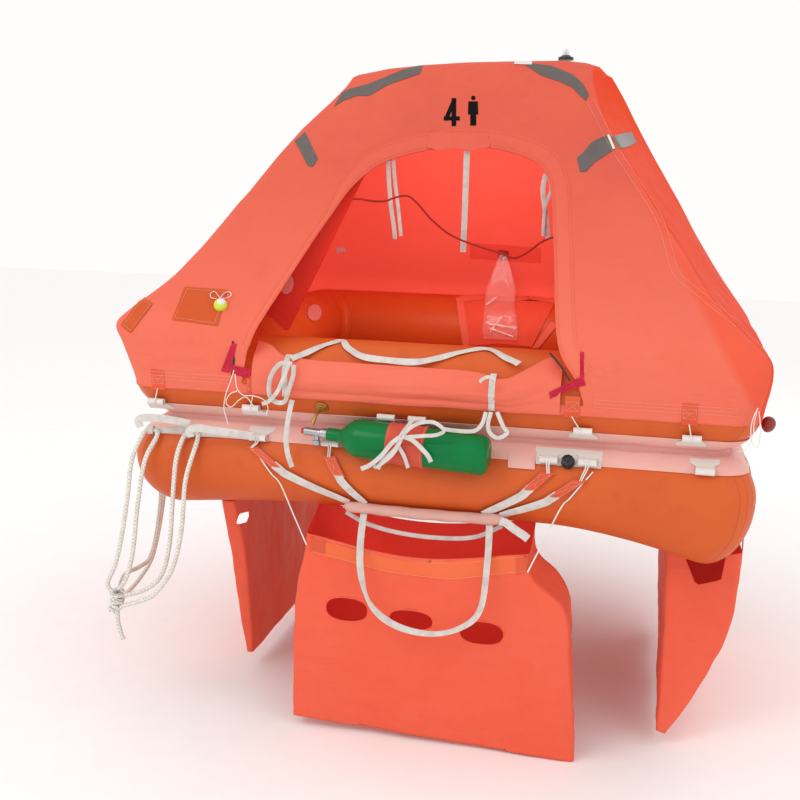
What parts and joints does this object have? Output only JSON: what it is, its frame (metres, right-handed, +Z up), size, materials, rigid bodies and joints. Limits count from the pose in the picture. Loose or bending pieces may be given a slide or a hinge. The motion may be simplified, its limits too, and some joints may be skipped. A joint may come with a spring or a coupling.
{
  "type": "life raft",
  "caption": "Inflated canopied life raft on square buoyancy tubes, with open doorway, ballast bags, gas cylinder, painter loops and hanging webbing boarding ladder.",
  "frame": {"origin": "centre of the raft at its waterline, level with the lower tube's axis", "axes": "+X along the entrance side, to the right as seen from outside the doorway; +Y away from the doorway; +Z up"},
  "size_m": [1.8294, 1.8022, 1.9915],
  "materials": {
    "tube_orange": "rubber-coated tube fabric, orange-brown, satin",
    "canopy_salmon": "coated canopy fabric, fluorescent salmon",
    "inner_red": "rubber-coated tube fabric, bright red",
    "bag_red": "coated bag and floor fabric, red",
    "band_pink": "pale pink seam fabric with white patches",
    "webbing_white": "white woven webbing and braided rope",
    "pad_red": "red coated patch fabric",
    "cylinder_green": "green enamel, semi-gloss",
    "brass": "turned brass",
    "steel": "machined steel",
    "black_plastic": "moulded black plastic",
    "clear_plastic": "clear moulded or sheet plastic",
    "quoit_red": "moulded dark red rubber",
    "label_orange": "orange-brown webbing"
  },
  "bodies": {
    "raft": {"arch_tube": "inner_red", "bag_cord_left": "webbing_white", "bag_cord_right": "webbing_white", "bag_strap_right": "label_orange", "ballast_bag_front": "bag_red", "ballast_bag_left": "bag_red", "ballast_bag_right": "bag_red", "canopy_back": "canopy_salmon", "canopy_front": "canopy_salmon", "canopy_left": "canopy_salmon", "canopy_right": "canopy_salmon", "curtain_tie_left": "webbing_white", "curtain_tie_right": "webbing_white", "cylinder_strap": "pad_red", "cylinder_valve": "steel", "door_curtain": "canopy_salmon", "floor_sheet": "bag_red", "gas_cylinder": "cylinder_green", "inflation_inlet": "brass", "lacing_band_lower": "band_pink", "lacing_band_upper": "band_pink", "lower_tube": "tube_orange", "painter_bight_corner": "webbing_white", "painter_bight_front": "webbing_white", "painter_bight_side": "webbing_white", "painter_knot": "webbing_white", "painter_tail": "webbing_white", "relief_valve": "black_plastic", "rescue_quoit": "quoit_red", "sill_web": "webbing_white", "spares_bag": "clear_plastic", "top_light_base": "black_plastic", "top_light_dome": "clear_plastic", "tow_loop_corner": "webbing_white", "tow_loop_front": "webbing_white", "tow_loop_side": "webbing_white", "upper_tube": "tube_orange"},
    "boarding_ladder": {"ladder_foot_loop": "webbing_white", "ladder_pad_left_inner": "pad_red", "ladder_pad_left_outer": "pad_red", "ladder_pad_right_inner": "pad_red", "ladder_pad_right_outer": "pad_red", "ladder_rung": "band_pink", "ladder_strap_left_inner": "webbing_white", "ladder_strap_left_outer": "webbing_white", "ladder_strap_right_inner": "webbing_white", "ladder_strap_right_outer": "webbing_white"}
  },
  "joints": [
    {"name": "boarding_ladder_swing", "type": "hinge", "parent": "raft", "child": "boarding_ladder", "pos_m": [0, -0.8364, 0.0831], "axis": [-1, 0, 0], "range_deg": [0, 60]}
  ]
}
